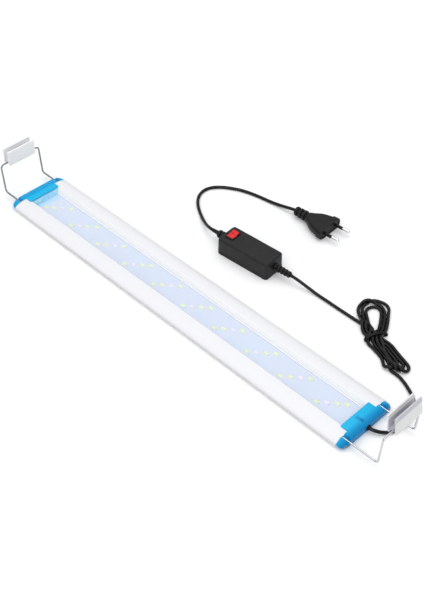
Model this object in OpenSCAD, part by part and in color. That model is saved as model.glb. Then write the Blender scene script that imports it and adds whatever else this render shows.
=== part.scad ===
// LED aquarium light with sliding wire brackets, in-line driver and two-pin plug.
// The lamp lies on its back with the LEDs facing up. Units are millimetres.
// +X runs along the lamp to the end where the cable leaves, +Y across it to the
// side where the driver lies, +Z up. The origin is on the back, at the middle.

/* [Lamp body] */
// Length of the lamp over both end caps
lamp_length = 480; // [420:10:600]
// Width of the lamp
lamp_width = 72; // [70:1:76]
// Height of the two ridges beside the LED channel
ridge_height = 8.8; // [8.6:0.1:9.4]
// Height of the widest line of the rounded side edges
nose_height = 3.6; // [3.2:0.1:4]
// Thickness of the web under the circuit board
web = 1.2; // [1:0.1:1.4]

/* [LEDs] */
// Number of slanted LED rows
led_rows = 10; // [4:1:10]
// Distance from row to row
row_pitch = 44.2; // [30:0.2:44.2]
// Length of a row along the lamp
row_run = 22.3; // [18:0.1:26]
// Width of a row across the lamp
row_span = 17.4; // [12:0.1:20]

/* [End caps] */
// Length of an end cap's outer strip
strip_depth = 8; // [7:0.5:10]
// Length of the tab that reaches over the channel
tab_depth = 8.4; // [6:0.2:10]
// Width of the tab
tab_width = 39.4; // [39:0.2:41]

/* [Wire brackets] */
// Diameter of the bracket wire
wire_d = 2; // [1.8:0.1:2.2]
// Distance between the two legs of a bracket
leg_spacing = 51.6; // [50:0.2:53]
// Height of the legs above the back
leg_height = 6.2; // [6:0.1:6.4]
// How far the left bracket stands out of its cap
left_reach = 21.4; // [5:0.2:100]
// How far the right bracket stands out of its cap
right_reach = 31.4; // [5:0.2:100]
// Height of the crossbar above the back
crossbar_height = 40.6; // [34:0.2:50]
// Outward lean of the uprights
lean = 3; // [0:1:8]

/* [Foot clips] */
// Length of a clip along the glass
clip_length = 35.6; // [30:0.2:40]
// Width of a clip over both plates
clip_width = 9.6; // [9:0.2:12]
// Thickness of a clip's plates
clip_plate = 1.6; // [1.2:0.1:2]
// Height of a clip
clip_height = 18.4; // [16:0.2:24]
// Inward tilt of the left clip
left_clip_tilt = 3; // [-90:1:90]
// Inward tilt of the right clip
right_clip_tilt = 10; // [-90:1:90]
// How far the right clip has slid along its crossbar
right_clip_shift = 3; // [-3:0.5:3]

/* [Driver] */
// Length of the driver housing
driver_length = 67; // [62:1:80]
// Width of the driver housing
driver_width = 27.8; // [26:0.2:32]
// Height of the driver housing
driver_height = 20.6; // [20:0.2:26]
// Turn of the driver away from the lamp's direction
driver_turn = 4; // [0:1:8]

/* [Cords and plug] */
// Diameter of the lamp cord
lamp_cord_d = 3.4; // [3.2:0.1:3.4]
// Diameter of the mains cord
mains_cord_d = 3.6; // [3.4:0.1:3.6]
// Diameter of a plug pin
pin_d = 4; // [4:0.1:4.8]
// Distance between the plug pins
pin_spacing = 19; // [18:0.5:20]
// Length of a plug pin
pin_length = 19; // [18:0.5:20]

/* [Hidden] */
$fn = 48;
gap = 0.05;

// Lamp section
end_x = lamp_length / 2;
shell_x = end_x - strip_depth;
half_width = lamp_width / 2;
ridge_outer = 19;
ridge_inner = 18;
flat_back = 23;
section_steps = 16;
channel_half = 14.7;
ledge_height = 3.3;
cover_thick = 1;
cover_half = 15.7;
board_thick = 1;
board_top = web + board_thick;

// End caps
cap_top = ridge_height + 1.05;
tab_under = ridge_height + gap;
cap_edge = -1;
cap_bevel = 2.4;
pocket_half = 13;
pocket_wall = 2;
screw_y = 30.6;
screw_z = 3.7;
screw_head_d = 3.6;
screw_shank_d = 2;
screw_length = 12;
cable_z = 4.6;

// Brackets: the legs' length leaves 35 mm inside at the full reach of 100 mm
leg_y = leg_spacing / 2;
channel_d = wire_d + 0.4;
guide_d = wire_d + 0.12;
low_bend = 3.5;
high_bend = 4;
leg_run = 131;
bend_turn = 90 - lean;
bend_rise = low_bend * (1 - cos(bend_turn));
upright = (crossbar_height - leg_height - bend_rise) / cos(lean) - high_bend;
crossbar_out = (upright + high_bend) * sin(lean);
clip_bore_d = wire_d + 0.1;
clip_under = 2.1;
clip_web = 4.6;
clip_notch = 2.8;

// Driver, placed from the cable end of the lamp
driver_at = [-233, 90, 0];
driver_wall = 1.6;
seam_height = 3.6;
corner_r = 3.2;
relief_height = 10;
mains_relief_y = 2.3;
output_relief_y = 0.6;
switch_x = -23.5;
switch_y = 0.3;
bezel = [10.2, 13.8, 1];
window = [8.3, 11.7];
pivot_height = driver_height + 0.4;
pivot_d = 1.6;
rocker_tilt = 9;

// Cord routes, from the cable end of the lamp; the last figure is the height
lamp_r = lamp_cord_d / 2;
mains_r = mains_cord_d / 2;
near_route = [
    [0.9, 0, cable_z], [3.6, 0.4, 4.5], [7.6, 2.3, 3.9], [11.8, 5.8, 2.9], [15.6, 11, 2.1],
    [18.4, 18, lamp_r], [19.8, 25.5, lamp_r], [19.8, 33, lamp_r], [18, 40.5, lamp_r],
    [14.8, 47.5, lamp_r], [10, 53.8, lamp_r], [4, 59, lamp_r], [-4, 63.6, lamp_r],
    [-13, 67.6, lamp_r], [-24, 71, lamp_r], [-30, 71, lamp_r]
];
far_route = [
    [-211.6, 92.1, relief_height], [-178.7, 94.4, relief_height], [-172, 95.4, 8.4],
    [-165, 97, 5.6], [-157, 98.4, 3],
    [-147, 99, lamp_r], [-135, 99, lamp_r], [-123, 98.7, lamp_r], [-111, 98.6, lamp_r],
    [-99, 98.6, lamp_r], [-89, 98.4, lamp_r], [-81, 97.2, lamp_r]
];
mains_route = [
    [-286.5, 88.6, relief_height], [-292, 89.3, 9.4], [-298.5, 91.7, 7.2], [-307, 96, 4.6],
    [-316, 101, 2.6], [-325, 106.4, mains_r], [-333.5, 112, mains_r],
    [-341.3, 118.8, mains_r], [-347.4, 127.6, mains_r], [-349.8, 137.6, mains_r],
    [-347, 147, mains_r], [-339.8, 155.2, mains_r], [-330.2, 161.8, mains_r],
    [-320, 166.8, mains_r], [-308.5, 170.4, mains_r], [-297, 172.8, mains_r],
    [-285.4, 174.6, mains_r], [-274, 176.2, 2.6], [-262, 177.8, 4.4],
    [-254.6, 178.5, 5.9], [-248.6, 178.8, 6.9]
];
bundle_at = [-64, 98.5, 0];
bundle_turn = -30;
bundle_height = 7.4;
tie_at = [3.5, -0.3, 0];
tie_turn = -45;
waist = [4.4, 14, 8.2];
tie_thick = 0.8;

// Plug, placed from the cable end of the lamp
plug_at = [-248.6, 178.8, 6.9];
plug_turn = 3;
plug_neck = 14;
plug_length = 47.6;
plug_face = [35.3, 13.7];
plug_collar = 7;
sleeve_length = 10;
sleeve_d = 3.5;
pin_core_d = 2.6;

// Section of the lamp: the wing's top, its rounded edge and its underside
function wing_z(t, top, edge) = edge + (top - edge) * pow(1 - pow(t, 2.6), 1 / 1.6);
function under_z(t, edge) = edge * (1 - sqrt(1 - t * t));
function wing_points(inner, outer, top, edge) = [
    for (i = [0:section_steps])
        let (t = sin(90 * i / section_steps))
        [inner + t * (outer - inner), wing_z(t, top, edge)]
];
function under_points(inner, outer, edge, lift) = [
    for (i = [1:section_steps])
        let (t = cos(90 * i / section_steps))
        [inner + t * (outer - inner), lift + under_z(t, edge - lift)]
];
function both_sides(half) = concat(
    half, [for (i = [len(half) - 1:-1:0]) [-half[i][0], half[i][1]]]
);
function shell_half() = concat(
    [
        [channel_half, web], [channel_half, ledge_height],
        [cover_half + 0.1, ledge_height], [cover_half + 0.1, ledge_height + cover_thick + 0.1],
        [ridge_inner, ridge_height]
    ],
    wing_points(ridge_outer, half_width, ridge_height, nose_height),
    under_points(flat_back, half_width, nose_height, 0)
);
function cap_half(inset, lift) = concat(
    wing_points(tab_width / 2 - inset / 2, half_width + cap_edge - inset,
        cap_top - inset / 2, nose_height + 0.2),
    under_points(flat_back - inset / 2, half_width + cap_edge - inset, nose_height + 0.2, lift)
);

// Smooth curve through a route's points
function curve_point(a, b, c, d, t) = 0.5 * (2 * b + (c - a) * t
    + (2 * a - 5 * b + 4 * c - d) * t * t + (3 * b - a - 3 * c + d) * t * t * t);
function smooth(route, cuts) = let (last = len(route) - 1) concat(
    [
        for (i = [0:last - 1], k = [0:cuts - 1])
            curve_point(route[max(i - 1, 0)], route[i], route[i + 1],
                route[min(i + 2, last)], k / cuts)
    ],
    [route[last]]
);
function unit(v) = v / norm(v);
function heading(path, i) = unit(path[min(i + 1, len(path) - 1)] - path[max(i - 1, 0)]);

module along_x(length) {
    rotate([90, 0, 90]) linear_extrude(height = length) children();
}

module rod_x(d, length) {
    rotate([0, 90, 0]) cylinder(d = d, h = length);
}

module both_y() {
    children();
    mirror([0, 1, 0]) children();
}

module from_cable_end() {
    translate([end_x, 0, 0]) children();
}

// A tube swept along a route, with one ring of corners at each step
module cord(route, r, cuts) {
    sides = 8;
    path = smooth(route, cuts);
    rings = [
        for (i = [0:len(path) - 1])
            let (ahead = heading(path, i), side = unit(cross(ahead, [0, 0, 1])))
            let (up = cross(side, ahead))
            for (k = [0:sides - 1])
                path[i] + r * (cos(360 * k / sides) * up + sin(360 * k / sides) * side)
    ];
    last = len(path) - 1;
    walls = [
        for (i = [0:last - 1], k = [0:sides - 1])
            let (a = i * sides + k, b = i * sides + (k + 1) % sides)
            [a, b, b + sides, a + sides]
    ];
    start_face = [for (k = [sides - 1:-1:0]) k];
    end_face = [for (k = [0:sides - 1]) last * sides + k];
    polyhedron(points = rings, faces = concat(walls, [start_face, end_face]), convexity = 8);
}

// ---- Lamp body ----

module lamp_shell() {
    chamber = [[16.2, web], [23.2, web], [23.2, 7.2], [19.6, 7.5], [17.4, 3.2]];
    color("white")
    difference() {
        translate([-shell_x, 0, 0]) along_x(2 * shell_x) polygon(both_sides(shell_half()));
        both_y() {
            translate([-shell_x - 1, 0, 0]) along_x(2 * shell_x + 2) polygon(chamber);
            translate([-shell_x - 1, leg_y, leg_height]) rod_x(channel_d, 2 * shell_x + 2);
            for (x = [-shell_x - 1, shell_x - screw_length])
                translate([x, screw_y, screw_z]) rod_x(screw_shank_d + 0.1, screw_length + 1);
        }
    }
}

module led_board() {
    inset = 0.5;
    color("aliceblue")
    translate([-shell_x + inset, -channel_half + 0.2, web])
        cube([2 * (shell_x - inset), 2 * (channel_half - 0.2), board_thick]);
}

function is_blue(row, place) = place == (row % 2 == 0 ? 2 : 1);

module leds(blue) {
    body = [5.7, 3, 0.6];
    window_d = 2.4;
    for (row = [0:led_rows - 1], place = [0:3])
        if (is_blue(row, place) == blue)
            translate([
                (row - (led_rows - 1) / 2) * row_pitch + (place / 3 - 0.5) * row_run - 1.6,
                (place / 3 - 0.5) * row_span,
                board_top
            ]) {
                translate([-body[0] / 2, -body[1] / 2, 0]) cube(body);
                cylinder(d = window_d, h = body[2] + 0.2, $fn = 24);
            }
}

module white_leds() {
    color("khaki") leds(false);
}

module blue_leds() {
    color("lightsteelblue") leds(true);
}

module clear_cover() {
    end_gap = 4.2;
    length = 2 * (shell_x - end_gap);
    color("lightcyan", 0.4)
    translate([-length / 2, -cover_half, ledge_height]) cube([length, 2 * cover_half, cover_thick]);
}

// Cable end, its two leads and their solder joints, inside the right cap
module supply_leads() {
    lead_d = 1.2;
    drop = 2;
    jacket = [end_x - 3.4, 0, cable_z];
    color("dimgray") translate(jacket) rod_x(lamp_cord_d, 3.9);
    color("firebrick")
    both_y() {
        translate([shell_x - 2.6, 2, cable_z - drop]) cylinder(d = 2.4, h = 1, $fn = 24);
        hull() {
            translate([shell_x - 2.6, 2, cable_z - drop + 1]) sphere(d = lead_d, $fn = 16);
            translate([shell_x + 1, 1.4, cable_z]) sphere(d = lead_d, $fn = 16);
        }
        hull() {
            translate([shell_x + 1, 1.4, cable_z]) sphere(d = lead_d, $fn = 16);
            translate(jacket + [0.2, 0.7, 0]) sphere(d = lead_d, $fn = 16);
        }
    }
}

// Bead of sealant that closes one end of the channel, under the cap's tab
module channel_seal() {
    low = ledge_height + cover_thick + 0.1;
    high = tab_under - 0.05;
    front = shell_x - tab_depth + 0.8;
    bead = [[cover_half - 0.4, low], [ridge_inner - 0.5, high], [0.5 - ridge_inner, high],
        [0.4 - cover_half, low]];
    color("lightblue", 0.6) translate([front, 0, 0]) along_x(3) polygon(bead);
}

module channel_seal_left() {
    mirror([1, 0, 0]) channel_seal();
}

module channel_seal_right() {
    channel_seal();
}

// Right end cap; the left one is its mirror image without the cable hole
module end_cap(cable_hole) {
    skin = 0.1;
    slit = 0.8;
    color("deepskyblue", 0.8)
    difference() {
        union() {
            hull() {
                translate([shell_x, 0, 0])
                    along_x(strip_depth - cap_bevel) polygon(both_sides(cap_half(0, 0)));
                translate([end_x - skin, 0, 0])
                    along_x(skin) polygon(both_sides(cap_half(cap_bevel, 0.9)));
            }
            translate([shell_x - tab_depth, -tab_width / 2, tab_under])
                cube([tab_depth + 1, tab_width, cap_top - tab_under]);
        }
        translate([shell_x - 1, -pocket_half, board_top + 0.4])
            cube([strip_depth - pocket_wall + 1, 2 * pocket_half, tab_under - board_top - 1.2]);
        both_y() {
            translate([shell_x - 1, leg_y, leg_height]) rod_x(guide_d, strip_depth + 2);
            translate([shell_x - 1, leg_y - slit / 2, leg_height])
                cube([strip_depth + 2, slit, cap_top]);
            translate([shell_x - 1, screw_y, screw_z]) rod_x(screw_shank_d + 0.2, strip_depth + 2);
            translate([end_x - 1.6, screw_y, screw_z]) rod_x(screw_head_d + 0.3, 2);
        }
        if (cable_hole)
            translate([shell_x, 0, cable_z]) rod_x(5.2, strip_depth + 2);
    }
}

module end_cap_left() {
    mirror([1, 0, 0]) end_cap(false);
}

module end_cap_right() {
    end_cap(true);
}

module cap_screws() {
    head = 1.4;
    under_head = end_x - 1.6;
    color("silver")
    both_y()
        translate([under_head, screw_y, screw_z])
            difference() {
                union() {
                    rod_x(screw_head_d, head);
                    translate([-screw_length, 0, 0]) rod_x(screw_shank_d, screw_length);
                }
                for (turn = [0, 90])
                    translate([head - 0.6, 0, 0]) rotate([turn, 0, 0])
                        translate([0, -1.1, -0.25]) cube([1, 2.2, 0.5]);
            }
}

module cap_screws_left() {
    mirror([1, 0, 0]) cap_screws();
}

module cap_screws_right() {
    cap_screws();
}

module cable_grommet() {
    flange = 0.9;
    color("dimgray")
    translate([end_x - pocket_wall, 0, cable_z])
        difference() {
            union() {
                rod_x(5, pocket_wall + 0.1);
                translate([pocket_wall, 0, 0]) rod_x(6.4, flange);
            }
            translate([-1, 0, 0]) rod_x(lamp_cord_d, pocket_wall + flange + 2);
        }
}

// ---- Wire brackets and foot clips ----

// One bend of the wire: it enters along +Z and turns towards -X
module bend(r, turn) {
    translate([-r, 0, 0]) rotate([90, 0, 0])
        rotate_extrude(angle = turn) translate([r, 0]) circle(d = wire_d, $fn = 32);
}

module after_bend(r, turn) {
    translate([-r + r * cos(turn), 0, r * sin(turn)]) rotate([0, -turn, 0]) children();
}

// Half of a bracket: leg, upright and half of the crossbar
module half_bracket(reach) {
    bend_x = end_x + reach - low_bend;
    translate([bend_x - leg_run, leg_y, leg_height]) rotate([0, 90, 0]) {
        cylinder(d = wire_d, h = leg_run);
        translate([0, 0, leg_run]) {
            bend(low_bend, bend_turn);
            after_bend(low_bend, bend_turn) {
                cylinder(d = wire_d, h = upright);
                translate([0, 0, upright]) rotate([0, 0, 90]) {
                    bend(high_bend, 90);
                    after_bend(high_bend, 90) cylinder(d = wire_d, h = leg_y - high_bend);
                }
            }
        }
    }
}

module bracket(reach) {
    color("lightgray") both_y() half_bracket(reach);
}

module left_bracket_wire() {
    mirror([1, 0, 0]) bracket(left_reach);
}

module right_bracket_wire() {
    bracket(right_reach);
}

function crossbar_x(reach) = end_x + reach - low_bend + low_bend * sin(bend_turn) + crossbar_out;

// Saddle clip, open at the top, tilted inwards about the bracket's crossbar
module foot_clip(reach, tilt, shift) {
    inside = clip_width - 2 * clip_plate;
    rib = 0.3;
    color("whitesmoke")
    translate([crossbar_x(reach), shift - clip_length / 2, crossbar_height])
        rotate([0, -tilt, 0]) translate([0, 0, -clip_under])
            difference() {
                union() {
                    for (x = [-clip_width / 2, clip_width / 2 - clip_plate])
                        translate([x, 0, 0]) cube([clip_plate, clip_length, clip_height]);
                    translate([-clip_width / 2, clip_notch, 0])
                        cube([clip_width, clip_length - 2 * clip_notch, clip_web]);
                    for (x = [-inside / 2, inside / 2 - rib])
                        translate([x, 0, clip_height - 4]) cube([rib, clip_length, 1]);
                }
                translate([0, -1, clip_under]) rotate([-90, 0, 0])
                    cylinder(d = clip_bore_d, h = clip_length + 2);
            }
}

module left_foot_clip() {
    mirror([1, 0, 0]) foot_clip(left_reach, left_clip_tilt, 0);
}

module right_foot_clip() {
    foot_clip(right_reach, right_clip_tilt, right_clip_shift);
}

// ---- Driver ----

module in_driver() {
    from_cable_end() translate(driver_at) rotate([0, 0, driver_turn]) children();
}

function arc(cx, cy, r, from) = [
    for (a = [from:15:from + 90]) [cx + r * cos(a), cy + r * sin(a)]
];
function rounded(length, width, r) = let (x = length / 2 - r, y = width / 2 - r) concat(
    arc(x, y, r, 0), arc(-x, y, r, 90), arc(-x, -y, r, 180), arc(x, -y, r, 270)
);

module block(length, width, r, height) {
    linear_extrude(height = height) polygon(rounded(length, width, r));
}

module driver_lid() {
    edge = 1.2;
    cavity = [driver_length - 2 * driver_wall, driver_width - 2 * driver_wall];
    color([0.2, 0.2, 0.2])
    in_driver()
        difference() {
            hull() {
                translate([0, 0, seam_height])
                    block(driver_length, driver_width, corner_r, driver_height - seam_height - edge);
                translate([0, 0, driver_height - 0.1])
                    block(driver_length - 2 * edge, driver_width - 2 * edge, corner_r - edge, 0.1);
            }
            translate([0, 0, seam_height - 1])
                block(cavity[0], cavity[1], 1.6, driver_height - driver_wall - seam_height + 1);
            translate([switch_x, switch_y, driver_height])
                cube([window[0] + 1.3, window[1] + 1.3, 8], center = true);
            translate([-driver_length / 2 - 5, mains_relief_y, relief_height]) rod_x(6.2, 10);
            translate([driver_length / 2 - 5, output_relief_y, relief_height]) rod_x(6.2, 10);
        }
}

module driver_base() {
    lip = 2.2;
    lid_inside = [driver_length - 2 * driver_wall - 0.2, driver_width - 2 * driver_wall - 0.2];
    color([0.16, 0.16, 0.16])
    in_driver() {
        difference() {
            union() {
                block(driver_length, driver_width, corner_r, seam_height - 0.1);
                block(lid_inside[0], lid_inside[1], 1.5, seam_height + lip);
            }
            translate([0, 0, driver_wall])
                block(lid_inside[0] - 2.4, lid_inside[1] - 2.4, 1, seam_height + lip);
        }
        for (x = [-22, 22], y = [-6, 6])
            translate([x, y, driver_wall]) cylinder(d = 3, h = 1.4);
    }
}

module driver_board() {
    color("darkgreen") in_driver()
        translate([-28, -9.6, driver_wall + 1.4]) cube([56, 19.2, 1.2]);
}

part_floor = driver_wall + 2.6;

module driver_transformer() {
    core = [13, 15, 10.5];
    color("gold") in_driver()
        translate([2, 0, part_floor]) {
            translate([-core[0] / 2, -core[1] / 2, 1]) cube([core[0], core[1], core[2] - 1]);
            for (side = [-1, 1])
                translate([side * 5 - 1, -6, 0]) cube([2, 12, 1]);
        }
}

module driver_capacitors() {
    color("midnightblue") in_driver() {
        translate([-9.4, 4.4, part_floor]) cylinder(d = 7, h = 10);
        translate([16, -4.6, part_floor]) cylinder(d = 8, h = 11);
    }
}

module driver_choke() {
    color("dimgray") in_driver()
        translate([15.5, 5, part_floor]) {
            cylinder(d = 6.4, h = 1.2);
            cylinder(d = 4.4, h = 7.4);
            translate([0, 0, 6.2]) cylinder(d = 6.4, h = 1.2);
        }
}

module switch_frame() {
    body = [window[0] + 1.1, window[1] + 1.1, 9];
    color([0.12, 0.12, 0.12])
    in_driver() translate([switch_x, switch_y, driver_height])
        difference() {
            union() {
                translate([0, 0, bezel[2] / 2]) cube(bezel, center = true);
                translate([0, 0, 0.2 - body[2] / 2]) cube([body[0], body[1], body[2]], center = true);
            }
            translate([0, 0, -2.4]) cube([window[0], window[1], 9.6], center = true);
            translate([-body[0] / 2 - 1, 0, pivot_height - driver_height])
                rod_x(pivot_d + 0.1, body[0] + 2);
        }
}

// Rocker with its two faces meeting in a shallow valley, tilted onto its near stop
module switch_rocker() {
    width = window[0] - 0.5;
    reach = window[1] / 2 - 0.45;
    stem = 2.6;
    outline = [[-reach, 1.6], [0, 0.6], [reach, 1.6], [reach - 0.35, -1.1], [stem, -2.4],
        [-stem, -2.4], [0.35 - reach, -1.1]];
    color("red")
    in_driver() translate([switch_x, switch_y, pivot_height]) rotate([rocker_tilt, 0, 0]) {
        translate([-width / 2, 0, 0]) along_x(width) polygon(outline);
        translate([-width / 2 - 0.6, 0, 0]) rod_x(pivot_d, width + 1.2);
    }
}

module switch_terminals() {
    color("silver") in_driver()
        for (y = [-3.4, 3.4])
            translate([switch_x - 2.4, switch_y + y, driver_height - 14]) cube([4.8, 0.8, 5.2]);
}

// Ribbed sleeve round a cord, tapering to its tip along +X
module relief(base_d, tip_d, length, ribs, cord_d) {
    step = length / ribs;
    difference() {
        union() {
            for (i = [0:ribs - 1])
                translate([i * step, 0, 0])
                    rod_x(base_d + (tip_d - base_d) * i / (ribs - 1), step * 0.62);
            rotate([0, 90, 0]) cylinder(d1 = base_d - 1.8, d2 = tip_d - 1.2, h = length);
            translate([-driver_wall, 0, 0]) rod_x(6, driver_wall + 0.1);
            translate([-driver_wall - 1, 0, 0]) rod_x(8, 1);
        }
        translate([-4, 0, 0]) rod_x(cord_d, length + 5);
    }
}

module output_strain_relief() {
    color([0.15, 0.15, 0.15]) in_driver()
        translate([driver_length / 2, output_relief_y, relief_height])
            relief(8.6, 7, 21, 5, lamp_cord_d);
}

module mains_strain_relief() {
    color([0.15, 0.15, 0.15]) in_driver()
        translate([-driver_length / 2, mains_relief_y, relief_height]) rotate([0, 0, 180]) {
            relief(9.2, 8.2, 12, 3, mains_cord_d);
            translate([11.8, 0, 0])
                difference() {
                    rotate([0, 90, 0]) cylinder(d1 = 6.4, d2 = 5, h = 8.2);
                    translate([-1, 0, 0]) rod_x(mains_cord_d, 11);
                }
        }
}

// ---- Cords ----

module lamp_cord_near() {
    color([0.12, 0.12, 0.12]) from_cable_end() cord(near_route, lamp_r, 1);
}

module lamp_cord_far() {
    color([0.12, 0.12, 0.12]) from_cable_end() cord(far_route, lamp_r, 1);
}

module mains_cord() {
    color([0.12, 0.12, 0.12]) from_cable_end() cord(mains_route, mains_r, 2);
}

module in_bundle() {
    from_cable_end() translate(bundle_at) rotate([0, 0, bundle_turn]) children();
}

module in_waist() {
    in_bundle() translate(tie_at) rotate([0, 0, tie_turn]) children();
}

// Outer shape of the tied hank: a wide loop on one side of the tie, a folded one on the other.
// Each row is one round of the outline: its place along and across the hank, and its radius.
module cord_bundle() {
    wide_loop = [[-34, 4, 15], [-6, 1, 7]];
    folded_loop = [[10, -5, 8], [16, -7, 9], [28, -5, 9], [40, 1, 9.5]];
    color([0.12, 0.12, 0.12]) {
        difference() {
            in_bundle() linear_extrude(height = bundle_height)
                for (loop = [wide_loop, folded_loop], i = [0:len(loop) - 2])
                    hull()
                        for (round = [loop[i], loop[i + 1]])
                            translate([round[0], round[1]]) circle(r = round[2], $fn = 32);
            in_waist() translate([-waist[0] / 2, -15, -1]) cube([waist[0], 30, bundle_height + 2]);
        }
        in_waist() translate([-waist[0] / 2 - 1, -waist[1] / 2, tie_thick])
            cube([waist[0] + 2, waist[1], waist[2] - tie_thick]);
    }
}

module cord_tie() {
    outer = [waist[0] - 0.4, waist[1] + 2 * tie_thick, waist[2] + tie_thick];
    tail = 7;
    color("black")
    in_waist() {
        difference() {
            translate([-outer[0] / 2, -outer[1] / 2, 0]) cube(outer);
            translate([-5, -waist[1] / 2, tie_thick]) cube([10, waist[1], waist[2] - tie_thick]);
        }
        translate([0, -3, outer[2] - 0.3]) rotate([50, -20, 0]) cylinder(d = 1.6, h = tail);
    }
}

// ---- Plug ----

module in_plug() {
    from_cable_end() translate(plug_at) rotate([0, 0, plug_turn]) children();
}

module flat_oval(width, thick) {
    hull()
        for (side = [-1, 1])
            translate([side * (width - thick) / 2, 0]) circle(d = thick, $fn = 32);
}

module plug_body() {
    neck_d = 8.4;
    ribs = 3;
    step = plug_neck / ribs;
    color([0.15, 0.15, 0.15])
    in_plug()
        difference() {
            union() {
                for (i = [0:ribs - 1])
                    translate([i * step, 0, 0]) rod_x(neck_d + i * 0.6, step * 0.62);
                rotate([0, 90, 0]) cylinder(d1 = neck_d - 2, d2 = neck_d - 1, h = plug_neck + 1);
                hull() {
                    translate([plug_neck - 0.6, 0, 0]) rod_x(neck_d + 1.6, 1);
                    translate([plug_length - plug_collar, 0, 0])
                        along_x(plug_collar) flat_oval(plug_face[0], plug_face[1]);
                }
            }
            for (side = [-1, 1])
                translate([plug_length - 8, side * pin_spacing / 2, 0]) rod_x(sleeve_d, 9);
        }
}

module plug_pins() {
    dome = pin_d / 2;
    color("silver") in_plug()
        for (side = [-1, 1])
            translate([plug_length, side * pin_spacing / 2, 0]) {
                translate([-8, 0, 0]) rod_x(pin_core_d, 8 + sleeve_length + 0.1);
                translate([sleeve_length, 0, 0]) rod_x(pin_d, pin_length - sleeve_length - dome);
                intersection() {
                    translate([pin_length - dome, 0, 0]) sphere(r = dome);
                    translate([pin_length - dome, -dome, -dome]) cube(2 * dome);
                }
            }
}

module pin_sleeves() {
    color([0.1, 0.1, 0.1]) in_plug()
        for (side = [-1, 1])
            translate([plug_length - 8, side * pin_spacing / 2, 0])
                difference() {
                    rod_x(sleeve_d, 8 + sleeve_length);
                    translate([-1, 0, 0]) rod_x(pin_core_d, 10 + sleeve_length);
                }
}

lamp_shell();
led_board();
white_leds();
blue_leds();
clear_cover();
supply_leads();
channel_seal_left();
channel_seal_right();
end_cap_left();
end_cap_right();
cap_screws_left();
cap_screws_right();
cable_grommet();
left_bracket_wire();
right_bracket_wire();
left_foot_clip();
right_foot_clip();
driver_lid();
driver_base();
driver_board();
driver_transformer();
driver_capacitors();
driver_choke();
switch_frame();
switch_rocker();
switch_terminals();
mains_strain_relief();
output_strain_relief();
lamp_cord_near();
cord_bundle();
lamp_cord_far();
cord_tie();
mains_cord();
plug_body();
plug_pins();
pin_sleeves();
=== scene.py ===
import math

import bmesh
import bpy
import numpy as np
from mathutils import Matrix, Quaternion, Vector


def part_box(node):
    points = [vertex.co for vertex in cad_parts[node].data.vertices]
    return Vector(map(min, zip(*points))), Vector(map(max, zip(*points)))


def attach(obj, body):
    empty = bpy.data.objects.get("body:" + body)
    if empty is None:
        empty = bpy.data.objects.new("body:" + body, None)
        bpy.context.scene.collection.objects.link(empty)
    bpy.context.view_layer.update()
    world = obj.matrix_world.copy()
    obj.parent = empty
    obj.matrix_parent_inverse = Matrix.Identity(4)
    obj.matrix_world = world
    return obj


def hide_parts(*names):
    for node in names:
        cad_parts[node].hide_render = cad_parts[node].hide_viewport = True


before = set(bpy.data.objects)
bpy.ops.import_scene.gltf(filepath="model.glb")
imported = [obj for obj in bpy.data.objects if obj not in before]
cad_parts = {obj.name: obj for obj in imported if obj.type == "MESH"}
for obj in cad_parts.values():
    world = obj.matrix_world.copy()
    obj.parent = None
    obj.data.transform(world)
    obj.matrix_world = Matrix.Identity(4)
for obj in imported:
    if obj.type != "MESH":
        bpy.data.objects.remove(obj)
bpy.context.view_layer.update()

# Shapes are made in millimetres, and piece() and cord_curve() turn them into metres.
# The lamp lies along X on its back with the LEDs facing up, and the cable leaves at +X.
MM = 0.001
CABLE_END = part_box("end_cap_right")[1].x / MM
CAP_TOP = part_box("end_cap_right")[1].z / MM
SHELL_X, HALF_WIDTH, RIDGE_HEIGHT = (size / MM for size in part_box("lamp_shell")[1])
BOARD_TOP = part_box("led_board")[1].z / MM
# The distance from the lamp's middle line to where the channel's walls meet the ridges
RIDGE_Y = 18
# The height of the nose's edge, and the half width of the flat back
NOSE = 3.6
FLAT_BACK = 23
# The line of a bracket's leg in the extrusion, and the height where the cable leaves the cap
LEG_Y, LEG_Z = 25.8, 6.2
CABLE_Z = 4.6
# How far each bracket stands out past its cap
BRACKET_REACH = {"left": 21.4, "right": 31.4}
SIDES = {"left": -1, "right": 1}


# ---- Camera, light and floor ----

def placed(name, data):
    """A new object in the scene."""
    made = bpy.data.objects.new(name, data)
    bpy.context.scene.collection.objects.link(made)
    return made


def make_camera():
    """A view from above and to one side of the cable end, aimed near the lamp's middle."""
    aim = Vector((24.27, 17.46, 2.6)) * MM
    distance = 1.0452
    azimuth, elevation, roll = (math.radians(a) for a in (45.756, 43.947, -0.425))
    back = Vector((
        math.sin(azimuth) * math.cos(elevation),
        -math.cos(azimuth) * math.cos(elevation),
        math.sin(elevation),
    ))
    camera = placed("camera", bpy.data.cameras.new("camera"))
    camera.data.sensor_width = 36
    camera.data.lens = 62.385
    camera.data.clip_start, camera.data.clip_end = 0.05, 60
    camera.location = aim + back * distance
    camera.rotation_mode = "QUATERNION"
    camera.rotation_quaternion = (-back).to_track_quat("-Z", "Y") @ Quaternion((0, 0, 1), roll)
    bpy.context.scene.camera = camera


def soft_light(name, place, aim, size, power, tint=(1, 1, 1)):
    """A round lamp of this diameter, in metres, turned to face a point."""
    data = bpy.data.lights.new(name, "AREA")
    data.shape = "DISK"
    data.size = size
    data.energy = power
    data.color = tint
    light = placed(name, data)
    light.location = place
    light.rotation_mode = "QUATERNION"
    light.rotation_quaternion = (Vector(aim) - Vector(place)).to_track_quat("-Z", "Y")


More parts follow.
